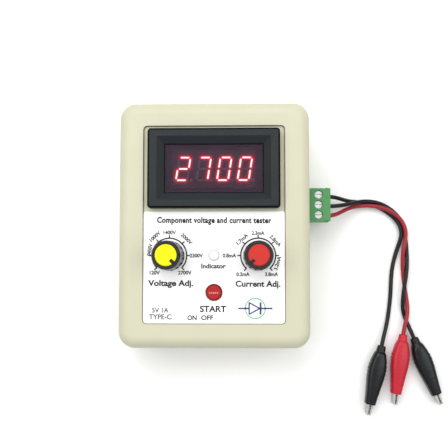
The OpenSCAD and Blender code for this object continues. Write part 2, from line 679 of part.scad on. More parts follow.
module clip_jaw(c) color("silver") clip_frame(c) difference() {
  union() {
    linear_extrude(2 * jaw_inner, center = true) back_strip(back);
    sheet_pair(jaw_inner) intersection() {
      cheek();
      translate([0, -4]) square([nose_u + 1, 8]);
    }
    intersection() {
      union() {
        linear_extrude(2 * jaw_half, center = true) back_strip(back);
        sheet_pair(jaw_half) cheek();
        translate([tip_u - 0.5, bite, -jaw_half]) cube([0.5, 0.5, 2 * jaw_half]);
      }
      translate([nose_u, 0, -4]) cube([20, 8, 8]);
    }
    for (s = [0, 1]) mirror([0, 0, s]) translate([nose_u, 0.7, jaw_inner - flange])
      cube([flange, 0.9, jaw_half - jaw_inner + flange]);
  }
  translate([pin_u, 0, 0]) rod(pin_r + 0.3, -3, 3);
}

boot_out = [[0, 1.7], [8, clip_wide], [12, clip_wide - 0.1], [23, 2.1]];
boot_wall = 0.6;

module boot_outline(inset) {
  polygon([for (p = boot_out) [p[0], p[1] - inset],
    for (i = [3 : -1 : 0]) [boot_out[i][0], inset - boot_out[i][1]]]);
}

module clip_boot(c) clip_frame(c) difference() {
  hull() {
    linear_extrude(2 * (clip_half - 0.8), center = true) boot_outline(0);
    linear_extrude(2 * clip_half, center = true) boot_outline(0.7);
  }
  intersection() {
    linear_extrude(2 * (clip_half - boot_wall), center = true) boot_outline(boot_wall);
    translate([1.2, -5, -5]) cube([30, 10, 10]);
  }
  translate([22, -1.5, -clip_half + boot_wall]) cube([2, 3, 2 * (clip_half - boot_wall)]);
  translate([-1, 0, 0]) rotate([0, 90, 0]) cylinder(r = wire_r + 0.2, h = 3);
}

module left_clip_base() clip_base(0);
module middle_clip_base() clip_base(1);
module right_clip_base() clip_base(2);
module left_clip_jaw() clip_jaw(0);
module middle_clip_jaw() clip_jaw(1);
module right_clip_jaw() clip_jaw(2);
module left_clip_boot() color("black") clip_boot(0);
module middle_clip_boot() color("crimson") clip_boot(1);
module right_clip_boot() color("black") clip_boot(2);

module clip_pins() color("silver") for (c = [0 : 2]) clip_frame(c) translate([pin_u, 0, 0])
  rod(pin_r, -jaw_half - 0.2, jaw_half + 0.2);

// Two turns round the pin and one leg back to the fixed handle
coil_r = 1.15;
coil_turns = 2.25;
spring_path = concat([for (i = [0 : 22]) let (a = 360 * coil_turns * i / 22)
    [coil_r * sin(a), coil_r * cos(a), 0.5 - i / 22]],
  [[coil_r - 0.4, -0.9, -0.5], [-1.6, -1.5, -0.3], [-5, -1.85, 0]]);

module clip_springs() color("silver") for (c = [0 : 2]) clip_frame(c) translate([pin_u, 0, 0])
  tube(spring_path, 0.2, 6, [0, 0, 1]);

// ---------- sub-parts ----------
upper_shell();
lower_shell();
case_screws();
front_label();
meter_housing();
meter_window();
meter_display();
meter_segments_lit();
meter_segments_dark();
meter_board();
meter_connector();
meter_wires();
voltage_pot();
voltage_pot_shaft();
voltage_knob();
voltage_knob_cap();
current_pot();
current_pot_shaft();
current_knob();
current_knob_cap();
start_switch();
start_plunger();
start_button();
indicator_lens();
indicator_led();
control_board();
control_board_screws();
board_link();
main_board();
main_board_screws();
usb_port();
usb_tongue();
power_switch();
power_switch_slider();
test_socket();
test_socket_pins();
transformer_core();
transformer_coil();
electrolytics();
hv_capacitor();
diodes();
board_chips();
test_plug();
test_plug_screws();
test_wire_left();
test_wire_middle();
test_wire_right();
left_clip_base();
left_clip_jaw();
left_clip_boot();
middle_clip_base();
middle_clip_jaw();
middle_clip_boot();
right_clip_base();
right_clip_jaw();
right_clip_boot();
clip_pins();
clip_springs();
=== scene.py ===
"""Looks of the component tester: finishes for the CAD nodes, the panel's printing, the glow of the display,
the lead's wires and vinyl boots, and a pale studio. Lengths are in millimetres until a mesh is made."""

import json
import math

import bpy
from mathutils import Matrix, Vector


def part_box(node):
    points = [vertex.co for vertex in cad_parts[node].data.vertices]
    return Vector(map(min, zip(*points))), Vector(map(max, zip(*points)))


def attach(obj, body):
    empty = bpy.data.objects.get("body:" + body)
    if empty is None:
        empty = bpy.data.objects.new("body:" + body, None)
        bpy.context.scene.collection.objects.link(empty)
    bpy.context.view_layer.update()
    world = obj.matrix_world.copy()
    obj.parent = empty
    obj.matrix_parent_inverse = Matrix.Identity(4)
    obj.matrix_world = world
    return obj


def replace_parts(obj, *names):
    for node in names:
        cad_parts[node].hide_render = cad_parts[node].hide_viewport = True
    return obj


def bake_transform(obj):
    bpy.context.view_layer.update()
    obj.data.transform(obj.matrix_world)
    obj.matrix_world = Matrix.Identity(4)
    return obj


MM = 0.001
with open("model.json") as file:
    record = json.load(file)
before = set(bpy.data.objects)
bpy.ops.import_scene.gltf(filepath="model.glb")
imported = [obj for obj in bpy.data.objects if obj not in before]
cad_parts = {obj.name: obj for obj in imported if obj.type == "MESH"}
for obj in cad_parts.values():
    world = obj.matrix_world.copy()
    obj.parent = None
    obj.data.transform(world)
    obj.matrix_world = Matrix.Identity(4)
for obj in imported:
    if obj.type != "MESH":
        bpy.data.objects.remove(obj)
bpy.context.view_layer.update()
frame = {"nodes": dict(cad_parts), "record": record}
nodes = frame["nodes"]
scene = bpy.context.scene
scene.view_settings.view_transform = "Standard"


# ---------- camera ----------


def look_from(obj, eye, target):
    """Places obj at eye, looking at target, with the panel's +Y up in its view."""
    eye, target = Vector(eye) * MM, Vector(target) * MM
    back = (eye - target).normalized()
    right = Vector((0, 1, 0)).cross(back).normalized()
    turn = Matrix((right, back.cross(right), back)).transposed()
    obj.matrix_world = Matrix.Translation(eye) @ turn.to_4x4()


lens = bpy.data.cameras.new("camera")
lens.sensor_width = 36
lens.lens = 57.28
lens.clip_start = 0.01
camera = bpy.data.objects.new("camera", lens)
scene.collection.objects.link(camera)
EYE = (10.44, -15.91, 285.5)
AIM = (3.63, 0.06, 27)
look_from(camera, EYE, AIM)
scene.camera = camera


# ---------- node helpers ----------


class Graph:
    """A material's node tree with its Principled shader, and short ways to add to it."""

    def __init__(self, name):
        self.material = bpy.data.materials.new(name)
        self.material.use_nodes = True
        self.tree = self.material.node_tree
        self.shader = self.tree.nodes["Principled BSDF"]
        self.place = self.add("ShaderNodeTexCoord").outputs["Object"]

    def add(self, kind, **settings):
        node = self.tree.nodes.new(kind)
        for key, value in settings.items():
            if key in node.inputs:
                node.inputs[key].default_value = value
            else:
                setattr(node, key, value)
        return node

    def link(self, a, b):
        self.tree.links.new(a, b)

    def noise(self, size, detail=2.0, stretch=(1, 1, 1)):
        """Noise whose features are about size millimetres across, drawn out by stretch."""
        mapping = self.add("ShaderNodeMapping")
        mapping.inputs["Scale"].default_value = [1 / s for s in stretch]
        self.link(self.place, mapping.inputs["Vector"])
        node = self.add("ShaderNodeTexNoise", Scale=1 / (size * MM), Detail=detail)
        self.link(mapping.outputs[0], node.inputs["Vector"])
        return node.outputs["Fac"]

    def spread(self, value, low, high, start=0.3, end=0.7):
        """Maps a value between start and end to between low and high."""
        node = self.add("ShaderNodeMapRange")
        for key, number in (("From Min", start), ("From Max", end), ("To Min", low), ("To Max", high)):
            node.inputs[key].default_value = number
        self.link(value, node.inputs["Value"])
        return node.outputs["Result"]

    def mix(self, factor, a, b):
        """A colour between a and b; either is a colour or another node's output."""
        node = self.add("ShaderNodeMix", data_type="RGBA")
        self.link(factor, node.inputs["Factor"])
        for socket, value in ((node.inputs[6], a), (node.inputs[7], b)):
            if isinstance(value, bpy.types.NodeSocket):
                self.link(value, socket)
            else:
                socket.default_value = (*value, 1)
        return node.outputs[2]

    def bump(self, value, height, rounding=0.0):
        """Raises the surface by value, height millimetres at most, and softens its edges by rounding."""
        node = self.add("ShaderNodeBump", Distance=height * MM)
        self.link(value, node.inputs["Height"])
        if rounding:
            edge = self.add("ShaderNodeBevel", samples=4, Radius=rounding * MM)
            self.link(edge.outputs[0], node.inputs["Normal"])
        self.link(node.outputs[0], self.shader.inputs["Normal"])


def shade(colour, factor):
    return tuple(min(1.0, c * factor) for c in colour)


def moulded(name, colour, rough, grain=0.25, height=0.01, mottle=0.05, rounding=0.0, gloss=0.5, coat=0.0):
    """A moulded or painted surface: a fine grain, slow colour variation and uneven roughness."""
    g = Graph(name)
    cloudy = g.spread(g.noise(9, 3), 0, 1)
    speck = g.spread(g.noise(grain * 2.5, 2), 0, 1)
    base = g.mix(cloudy, shade(colour, 1 - mottle), shade(colour, 1 + mottle / 2))
    dusty = g.mix(speck, base, shade(colour, 1 - mottle / 2))
    g.link(dusty, g.shader.inputs["Base Color"])
    g.link(g.spread(g.noise(4, 4), rough * 0.88, min(1, rough * 1.12)), g.shader.inputs["Roughness"])
    g.bump(g.noise(grain, 3), height, rounding)
    g.shader.inputs["Specular IOR Level"].default_value = gloss
    g.shader.inputs["Coat Weight"].default_value = coat
    g.shader.inputs["Coat Roughness"].default_value = 0.12
    return g


def metal(name, colour, rough, stretch=(12, 1, 1), rounding=0.0):
    """Plated metal with fine drawn lines and patchy dulling."""
    g = Graph(name)
    lines = g.noise(0.12, 3, stretch)
    patch = g.spread(g.noise(2.5, 4), 0, 1)
    g.link(g.mix(patch, shade(colour, 0.84), shade(colour, 1.06)), g.shader.inputs["Base Color"])
    g.link(g.spread(lines, rough * 0.75, rough * 1.3), g.shader.inputs["Roughness"])
    g.shader.inputs["Metallic"].default_value = 1.0
    g.bump(lines, 0.006, rounding)
    return g


# ---------- finishes, one for each material slot of the record ----------

RED_GLOW = (1.0, 0.006, 0.05)
PINK_CORE = (1.0, 0.80, 0.75)
GLASS = (0.050, 0.028, 0.048)
RIM_SHADE_BAND = 0.35  # how far the painted shade on the start button's rim reaches in from its outline


def window_finish():
    g = Graph("window_acrylic")
    haze = g.spread(g.noise(6, 3), 0.0, 1.0)
    g.link(g.mix(haze, GLASS, shade(GLASS, 1.25)), g.shader.inputs["Base Color"])
    g.link(g.spread(g.noise(1.5, 3), 0.10, 0.16), g.shader.inputs["Roughness"])
    g.shader.inputs["Alpha"].default_value = 0.45
    g.shader.inputs["Specular IOR Level"].default_value = 0.25
    g.bump(g.noise(3, 1), 0.002)
    return g.material


def button_finish():
    """A red button whose colour is darkened over its rounded rim: painted shade."""
    g = moulded("button_red", BUTTON_RED, 0.24, 0.8, 0.006, 0.08, 0.2, 0.25)
    face = g.shader.inputs["Base Color"].links[0].from_socket
    low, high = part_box("start_button")
    off = g.add("ShaderNodeVectorMath", operation="SUBTRACT")
    off.inputs[1].default_value = (low + high) / 2
    g.link(g.place, off.inputs[0])
    flat = g.add("ShaderNodeVectorMath", operation="MULTIPLY")
    flat.inputs[1].default_value = (1, 1, 0)
    g.link(off.outputs[0], flat.inputs[0])
    out = g.add("ShaderNodeVectorMath", operation="LENGTH")
    g.link(flat.outputs[0], out.inputs[0])
    reach = (high.x - low.x) / 2
    # Painted shade: the base colour darkens toward the button's outline.
    rim = g.spread(out.outputs["Value"], 0, 1, reach - RIM_SHADE_BAND * MM, reach)
    g.link(g.mix(rim, face, shade(BUTTON_RED, 0.25)), g.shader.inputs["Base Color"])
    return g.material


def segment_finish(name, colour, glow, strength):
    g = Graph(name)
    uneven = g.spread(g.noise(0.5, 2), 0.0, 1.0)
    g.link(g.mix(uneven, shade(colour, 0.92), colour), g.shader.inputs["Base Color"])
    g.link(g.mix(uneven, shade(glow, 0.9), glow), g.shader.inputs["Emission Color"])
    g.shader.inputs["Emission Strength"].default_value = strength
    g.shader.inputs["Roughness"].default_value = 0.4
    g.bump(uneven, 0.003)
    return g.material


def glow_finish():
    """The display's face, lit red round the lit segments by the mesh's own glow attribute."""
    g = Graph("display_face")
    light = g.add("ShaderNodeAttribute", attribute_name="glow").outputs["Fac"]
    base = g.mix(g.spread(g.noise(1.2, 3), 0, 1), (0.030, 0.020, 0.030), (0.046, 0.030, 0.043))
    g.link(base, g.shader.inputs["Base Color"])
    g.link(g.mix(light, (0, 0, 0), RED_GLOW), g.shader.inputs["Emission Color"])
    g.shader.inputs["Emission Strength"].default_value = 3.2
    g.shader.inputs["Roughness"].default_value = 0.55
    g.bump(g.noise(0.4, 2), 0.004)
    return g.material


def board_finish():
    """Green solder mask with the fine relief of tracks under it."""
    g = moulded("circuit_board", (0.012, 0.085, 0.035), 0.3, 0.3, 0.004, 0.1, gloss=0.6)
    tracks = g.add("ShaderNodeTexVoronoi", feature="DISTANCE_TO_EDGE", distance="MANHATTAN", Scale=420)
    g.link(g.place, tracks.inputs["Vector"])
    line = g.spread(tracks.outputs["Distance"], 1.0, 0.0, 0.04, 0.07)
    g.link(g.mix(line, (0.012, 0.085, 0.035), (0.03, 0.16, 0.06)), g.shader.inputs["Base Color"])
    g.bump(line, 0.03)
    return g.material


def taped_finish(name, colour, turn):
    """Tape or sleeve laid on in turns, with a step at each edge."""
    g = moulded(name, colour, 0.35, 0.4, 0.004, 0.08)
    wrap = g.add("ShaderNodeTexWave", Scale=1 / (turn * MM) / 20, Distortion=1.5, wave_profile="SAW")
    wrap.bands_direction = "Y"
    g.link(g.place, wrap.inputs["Vector"])
    g.bump(wrap.outputs["Fac"], 0.05)
    return g.material


def lens_finish():
    g = moulded("lens_white", (0.94, 0.94, 0.94), 0.32, 0.6, 0.003, 0.03, rounding=0.1)
    g.shader.inputs["Subsurface Weight"].default_value = 0.35
    g.shader.inputs["Subsurface Radius"].default_value = (0.001, 0.001, 0.001)
    return g.material


def cap_finish(name, colour):
    """Satin cap with a fine grain."""
    return moulded(name, colour, 0.42, 0.35, 0.006, 0.05, 0.15, 0.15).material


def boot_finish(name, colour):
    """Soft vinyl: glossy and slightly wavy, as a dipped or moulded boot is."""
    return moulded(name, colour, 0.27, 1.6, 0.05, 0.18, 0.12, 0.3).material


def wire_finish(name, colour):
    return moulded(name, colour, 0.33, 0.7, 0.012, 0.15, gloss=0.3).material


IVORY = (0.585, 0.572, 0.42)
SLATE = (0.024, 0.029, 0.033)
BUTTON_RED = (0.41, 0.017, 0.020)

FINISHES = {
    "case_plastic": moulded("case_plastic", IVORY, 0.55, 0.22, 0.012, 0.03, rounding=0.12).material,
    "screw_steel": metal("screw_steel", (0.55, 0.55, 0.54), 0.34).material,
    "label_film": moulded("label_film", (0.96, 0.96, 0.96), 0.45, 0.5, 0.003, 0.012, gloss=0.3).material,
    "bezel_plastic": moulded("bezel_plastic", SLATE, 0.42, 0.2, 0.012, 0.12, 0.2, 0.15).material,
    "window_acrylic": window_finish(),
    "display_body": moulded("display_body", (0.035, 0.028, 0.036), 0.5, 0.3, 0.004, 0.1).material,
    "segment_lit": segment_finish("segment_lit", (0.5, 0.02, 0.05), RED_GLOW, 2.6),
    # The unlit segments carry a faint painted glow, though they are off.
    "segment_dark": segment_finish("segment_dark", (0.24, 0.18, 0.23), (0.10, 0.04, 0.08), 0.3),
    "circuit_board": board_finish(),
    "white_nylon": moulded("white_nylon", (0.75, 0.74, 0.70), 0.45, 0.4, 0.006).material,
    "wire_black": wire_finish("wire_black", (0.005, 0.005, 0.006)),
    "wire_red": wire_finish("wire_red", (0.34, 0.018, 0.028)),
    "pot_body": moulded("pot_body", (0.05, 0.06, 0.055), 0.5, 0.3, 0.008).material,
    "pot_shaft": moulded("pot_shaft", (0.62, 0.62, 0.60), 0.42, 0.3, 0.006).material,
    "knob_black": moulded("knob_black", (0.007, 0.007, 0.008), 0.26, 0.6, 0.001, 0.2, 0.25, 0.5).material,
    "cap_yellow": cap_finish("cap_yellow", (0.95, 0.91, 0.006)),
    "cap_red": cap_finish("cap_red", (0.56, 0.034, 0.026)),
    "switch_black": moulded("switch_black", (0.025, 0.025, 0.027), 0.45, 0.3, 0.008, 0.15).material,
    "button_red": button_finish(),
    "lens_white": lens_finish(),
    "led_body": moulded("led_body", (0.72, 0.66, 0.38), 0.3, 0.4, 0.004).material,
    "port_steel": metal("port_steel", (0.62, 0.62, 0.64), 0.27, (1, 8, 1), 0.1).material,
    "terminal_green": moulded(
        "terminal_green", (0.065, 0.265, 0.085), 0.44, 0.35, 0.012, 0.1, rounding=0.2, gloss=0.35
    ).material,
    "pin_tin": metal("pin_tin", (0.70, 0.70, 0.67), 0.36, (6, 1, 1)).material,
    "ferrite": moulded("ferrite", (0.045, 0.046, 0.050), 0.5, 0.15, 0.02, 0.25).material,
    "coil_tape": taped_finish("coil_tape", (0.72, 0.42, 0.05), 2.4),
    "can_sleeve": taped_finish("can_sleeve", (0.020, 0.026, 0.13), 9.0),
    "film_red": moulded("film_red", (0.30, 0.022, 0.018), 0.22, 1.6, 0.03, 0.15, coat=0.5).material,
    "chip_black": moulded("chip_black", (0.020, 0.020, 0.022), 0.55, 0.12, 0.01, 0.2).material,
    "clip_steel": metal("clip_steel", (0.50, 0.49, 0.47), 0.33, (10, 1, 1), 0.06).material,
    "boot_black": boot_finish("boot_black", (0.004, 0.005, 0.006)),
    "boot_red": boot_finish("boot_red", (0.52, 0.016, 0.032)),
}

for part in frame["record"]["subparts"]:
    for place in nodes[part["node"]].material_slots:
        place.material = FINISHES[part["material_slot"]]


# ---------- making pieces ----------


def piece(name, points, faces, finish, slot, smooth=False):
    """A mesh piece from points in millimetres, in the given finish. The slot is not used."""
    mesh = bpy.data.meshes.new(name)
    mesh.from_pydata([Vector(p) * MM for p in points], [], faces)
    mesh.materials.append(finish)
    mesh.polygons.foreach_set("use_smooth", [smooth] * len(mesh.polygons))
    obj = bpy.data.objects.new(name, mesh)
    scene.collection.objects.link(obj)
    return obj


def loft(rings, closed_ends=True):
    """Faces that join rings of equally many points into a tube."""
    n = len(rings[0])
    points = [p for ring in rings for p in ring]
    faces = []
    for i in range(len(rings) - 1):
        for k in range(n):
            m = (k + 1) % n
            faces.append((i * n + k, i * n + m, (i + 1) * n + m, (i + 1) * n + k))
    if closed_ends:
        faces.append(tuple(range(n - 1, -1, -1)))
        faces.append(tuple((len(rings) - 1) * n + k for k in range(n)))
    return points, faces


# ---------- lead wires: the same route as the CAD model's ----------

WIRE_R = 0.8
SOCKET_Y = 8
POLE_PITCH = 3.81
CLIP_Z = 3
# Each clip's tail in x and y, the way it points in degrees, and which side its moving jaw is on
CLIPS = {
    "left": (64.7, -46.2, -102.5, -1),
    "middle": (73.1, -41.8, -98.3, 1),
    "right": (77.2, -43.2, -69, -1),
}
# The three wires together, then the two that stay twisted, then the one that leaves them
RUN = [
    (52, 9, 5.2), (58, 9.8, 2.15), (63.8, 9, 1.95), (69.1, 6.4, 1.85), (73, 2.4, 1.85), (74.3, -2.8, 1.85),
]
RUN_HEADING = [5, 0, -18, -38, -62, -88]
RUN_TWIST = [0, -40, -85, -120, -145, -155]
RUN_SPREAD = [1.6, 1.05, 1.03, 1.03, 1.03, 1.03]
PAIR = [(74.5, -9.1, 1.8), (74.3, -17, 1.8), (74.1, -25, 1.8), (74.2, -31, 1.8), (74.4, -35.4, 1.9)]
PAIR_TWIST = [150, 230, 300, 360, 440]
PAIR_SPREAD = 0.97
LEFT_RUN = [(71.3, -9.1, 0.95), (69.3, -17, 0.95), (68.7, -27, 0.95), (67.3, -36.9, 1.05)]


def braid(i, phase):
    """A wire's place at point i of the run, on its own side of the twist."""
    turn, heading = math.radians(RUN_TWIST[i] + phase), math.radians(RUN_HEADING[i])
    off = Vector((-math.cos(turn) * math.sin(heading), math.cos(turn) * math.cos(heading), math.sin(turn)))
    return Vector(RUN[i]) + RUN_SPREAD[i] * off


def pair_at(i, phase):
    """A wire's place at point i of the twisted pair."""
    turn = math.radians(PAIR_TWIST[i] + phase)
    return Vector(PAIR[i]) + PAIR_SPREAD * Vector((math.cos(turn), 0, math.sin(turn)))


def clip_axes(clip):
    """A clip's tail, the direction to its tip, and the direction to its moving jaw."""
    x, y, heading, side = CLIPS[clip]
    along = Vector((math.cos(math.radians(heading)), math.sin(math.radians(heading)), 0))
    return Vector((x, y, CLIP_Z)), along, side * Vector((-along.y, along.x, 0))


def on_clip(clip, u, z):
    """A point on a clip's axis, u from its tail, at height z."""
    tail, along, _ = clip_axes(clip)
    spot = tail + u * along
    return Vector((spot.x, spot.y, z))


def leave_plug(i):
    """The first two points of the wire in pole i: where it leaves the plug, and where it starts to drop."""
    spread = POLE_PITCH - 0.3
    return [Vector((40, SOCKET_Y + i * POLE_PITCH, 9.7)), Vector((46, SOCKET_Y + i * spread, 9.4))]


# Each wire's pole, its side of the twist in degrees, and where it reaches its clip: distance and height
WIRES = {"left": (1, -30, -3, 2.7), "middle": (-1, 210, -2, 3), "right": (0, 90, -2, 2.8)}


def route(clip):
    """Points of a wire from the plug to inside its clip."""
    pole, phase, last, low = WIRES[clip]
    points = leave_plug(pole) + [braid(i, phase) for i in range(6)]
    if clip == "left":
        points += [Vector(p) for p in LEFT_RUN]
    else:
        points += [pair_at(i, 0 if clip == "middle" else 180) for i in range(5)]
    return points + [on_clip(clip, last, low), on_clip(clip, 4, CLIP_Z)]


def smooth_route(points, steps):
    """Catmull-Rom curve through the points."""
    knots = [2 * points[0] - points[1], *points, 2 * points[-1] - points[-2]]
    line = []
    for i in range(1, len(points)):
        a, b, c, d = knots[i - 1 : i + 3]
        for j in range(steps):
            t = j / steps
            square, cube = 2 * a - 5 * b + 4 * c - d, 3 * b - a - 3 * c + d
            line.append(0.5 * (2 * b + (c - a) * t + square * t**2 + cube * t**3))
    return line + [points[-1]]


def swept(line, radius, sides):
    """Rings of a round tube along the line, carried without twisting."""
    rings, side = [], Vector((0, 0, 1))
    for i, p in enumerate(line):
        along = (line[min(i + 1, len(line) - 1)] - line[max(i - 1, 0)]).normalized()
        side = (side - side.dot(along) * along).normalized()
        up = along.cross(side)
        angles = [2 * math.pi * k / sides for k in range(sides)]
        rings.append([p + radius * (math.cos(a) * side + math.sin(a) * up) for a in angles])
    return rings


WIRE_SIDES = 10
ROUNDED = 1.055  # a subdivided ten-sided tube comes out this much thinner


def add_wire(clip, slot):
    """A round wire on its route; gives the piece and its centre line."""
    line = smooth_route(route(clip), 2)
    points, faces = loft(swept(line, WIRE_R * ROUNDED, WIRE_SIDES))
    wire = piece(f"lead_wire_{clip}", points, faces, FINISHES[slot], slot, smooth=True)
    wire.modifiers.new("round", "SUBSURF").render_levels = 2
    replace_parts(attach(wire, "test_lead"), f"test_wire_{clip}")
    return wire, line


# ---------- vinyl boots on the clips ----------

BOOT_LONG = 23
# Places along and across a clip
# Distance from the tail, half width across the jaws, half thickness
BOOT_OUTLINE = [
    (0, 1.42, 1.42), (0.35, 1.62, 1.62), (2.2, 1.74, 1.78), (3.1, 2.3, 2.35), (4.2, 2.62, 2.62),
    (5.6, 2.98, 2.72), (7.6, 3.42, 2.88), (9.4, 3.56, 2.94), (12, 3.42, 2.96), (16, 2.88, 2.9),
    (20, 2.36, 2.72), (22.5, 2.12, 2.6), (BOOT_LONG, 1.98, 2.5),
]
BOOT_SIDES = 40
BOOT_STEPS = 92
BOOT_WALL = 0.6
BOOT_FLOOR = 0.45  # thickness above and below the jaws
LIP_SQUARE = 3
WIRE_HOLE = 1.15  # the hole's radius over the wire's
GROOVES = [7.0, 8.5, 10.0, 11.5]  # distances from the tail
GROOVE_DEPTH = 0.16
GROOVE_WIDTH = 0.33


def boot_size(u):
    """Half width and half thickness of the boot at a distance from its tail."""
    for (u0, a0, b0), (u1, a1, b1) in zip(BOOT_OUTLINE, BOOT_OUTLINE[1:]):
        if u <= u1:
            t = (u - u0) / (u1 - u0)
            return a0 + (a1 - a0) * t, b0 + (b1 - b0) * t
    return BOOT_OUTLINE[-1][1:]


def oval(half_w, half_t, square):
    """Points of a rounded section between an ellipse (square 2) and a box (square large)."""
    ring = []
    for k in range(BOOT_SIDES):
        a = 2 * math.pi * k / BOOT_SIDES
        c, s = math.cos(a), math.sin(a)
        across, up = abs(c) ** (2 / square), abs(s) ** (2 / square)
        ring.append((math.copysign(across, c) * half_w, math.copysign(up, s) * half_t))
    return ring


def grooved(v, half_w, groove):
    """Pulls a point at the boot's side in by a groove, which is 0 to 1 of its full depth."""
    return v - GROOVE_DEPTH * groove * abs(v / half_w) ** 6 * v / half_w


def boot_rings():
    """Sections of a boot as (u, [(v, w), ...]): up the outside, round the lip and back down the inside."""
    rings = []
    for i in range(BOOT_STEPS + 1):
        u = BOOT_LONG * i / BOOT_STEPS
        half_w, half_t = boot_size(u)
        groove = sum(math.exp(-(((u - g) / GROOVE_WIDTH) ** 2)) for g in GROOVES)
        square = 2.1 + 0.9 * min(1, u / 4.5)
        rings.append((u, [(grooved(v, half_w, groove), w) for v, w in oval(half_w, half_t, square)]))
    half_w, half_t = boot_size(BOOT_LONG)
    rings.append((BOOT_LONG, oval(half_w - 0.18, half_t - 0.18, LIP_SQUARE)))
    rings.append((BOOT_LONG - 0.1, oval(half_w - 0.42, half_t - 0.25, LIP_SQUARE)))
    for u in (BOOT_LONG - 1.5, BOOT_LONG - 4.5):
        half_w, half_t = boot_size(u)
        rings.append((u, oval(half_w - BOOT_WALL, half_t - BOOT_FLOOR, LIP_SQUARE)))
    return rings


def add_boot(clip, slot):
    """A clip's boot, with the hole for its wire."""
    tail, along, across = clip_axes(clip)
    up = Vector((0, 0, 1))

    def at(u, v, w=0.0):
        return tail + u * along + v * across + w * up

    hole = oval(WIRE_R * WIRE_HOLE, WIRE_R * WIRE_HOLE, 2)
    sections = [(0.9, hole), (0, hole), *boot_rings()]
    points, faces = loft([[at(u, v, w) for v, w in ring] for u, ring in sections])
    if CLIPS[clip][3] < 0:
        faces = [f[::-1] for f in faces]
    boot = piece(f"boot_{clip}", points, faces, FINISHES[slot], slot, smooth=True)
    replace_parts(boot, f"{clip}_clip_boot")
    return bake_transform(boot)


for clip, colour in (("left", "black"), ("middle", "red"), ("right", "black")):
    wire, line = add_wire(clip, f"wire_{colour}")
    boot = add_boot(clip, f"boot_{colour}")


# ---------- panel printing ----------

LABEL_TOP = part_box("front_label")[1].z / MM
INK_T = 0.025
INK_LIFT = 0.002  # the print's underside stands this far off what it is on
VOLTAGE_DIAL = (-16.2, -11.4)
CURRENT_DIAL = (16.0, -11.4)


def ink(name, colour):
    return moulded(name, colour, 0.5, 0.3, 0.002, 0.1, gloss=0.2).material


BLACK_INK = ink("ink_black", (0.012, 0.012, 0.014))
GREY_INK = ink("ink_grey", (0.09, 0.09, 0.10))
BLUE_INK = ink("ink_blue", (0.045, 0.085, 0.22))
TEAL_INK = ink("ink_teal", (0.20, 0.48, 0.30))


def lettering(words, x, y, width, capital, turn=0.0, weight=0.0, gap=1.0, base=None):
    """Points and faces of a line of print, centred on x, y, with that width and height of a capital."""
    base = LABEL_TOP if base is None else base
    curve = bpy.data.curves.new("lettering", "FONT")
    curve.body, curve.align_x, curve.offset, curve.space_character = words, "CENTER", weight, gap
    curve.extrude, curve.resolution_u = 0.02, 4
    holder = bpy.data.objects.new("lettering", curve)
    mesh = bpy.data.meshes.new_from_object(holder)
    spots = [v.co.copy() for v in mesh.vertices]
    faces = [tuple(p.vertices) for p in mesh.polygons]
    bpy.data.meshes.remove(mesh)
    bpy.data.curves.remove(curve)
    low, high = min(p.x for p in spots), max(p.x for p in spots)
    stretch, rise = width / (high - low), capital / CAPITAL
    c, s = math.cos(math.radians(turn)), math.sin(math.radians(turn))
    points = []
    for p in spots:
        a, b = (p.x - (low + high) / 2) * stretch, (p.y - CAPITAL / 2) * rise
        points.append((x + a * c - b * s, y + a * s + b * c, base + (INK_T if p.z > 0 else INK_LIFT)))
    return points, faces


def capital_height():
    """Height of a capital in the font's own units."""
    curve = bpy.data.curves.new("capital", "FONT")
    curve.body = "H"
    mesh = bpy.data.meshes.new_from_object(bpy.data.objects.new("capital", curve))
    return max(v.co.y for v in mesh.vertices)


CAPITAL = capital_height()


def ribbon(line, width, closed=False):
    """Points and faces of a printed line of that width through points on the label."""
    left, right = [], []
    n = len(line)
    for i, p in enumerate(line):
        before, after = line[max(i - 1, 0)], line[min(i + 1, n - 1)]
        if closed:
            before, after = line[i - 1], line[(i + 1) % n]
        along = (Vector(after) - Vector(before)).normalized()
        off = Vector((-along.y, along.x)) * width / 2
        left.append(Vector(p) + off)
        right.append(Vector(p) - off)
    base, top = LABEL_TOP + INK_LIFT, LABEL_TOP + INK_T
    rings = [
        [(a.x, a.y, base), (a.x, a.y, top), (b.x, b.y, top), (b.x, b.y, base)] for a, b in zip(left, right)
    ]
    if closed:
        rings.append(rings[0])
    return loft(rings, closed_ends=not closed)


def arc(x, y, radius, start, end, steps=72):
    """Points of an arc; angles are clockwise from the top of the panel."""
    angles = [math.radians(start + (end - start) * i / steps) for i in range(steps + 1)]
    return [(x + radius * math.sin(a), y + radius * math.cos(a)) for a in angles]


def joined(parts):
    """One set of points and faces from several."""
    points, faces = [], []
    for some, others in parts:
        faces += [tuple(i + len(points) for i in face) for face in others]
        points += some
    return points, faces


def printed(name, parts, finish):
    """A piece of print on the label."""
    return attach(piece(name, *joined(parts), finish, "label_film"), "case")


RING_R = 6.3
RING_WIDTH = 0.5
TICK = (6.2, 7.5)
TICK_WIDTH = 0.45
VALUE_CAPITAL = 1.25


def dial(centre, ticks, marks):
    """A three-quarter ring with its ticks, and the values round it."""
    x, y = centre
    parts = [ribbon(arc(x, y, RING_R, ticks[0], ticks[-1]), RING_WIDTH)]
    for a in ticks:
        tick = [arc(x, y, r, a, a, 1)[0] for r in TICK]
        parts.append(ribbon(tick, TICK_WIDTH))
    for words, dx, dy, width, turn in marks:
        parts.append(lettering(words, x + dx, y + dy, width, VALUE_CAPITAL, turn, 0.035))
    return parts


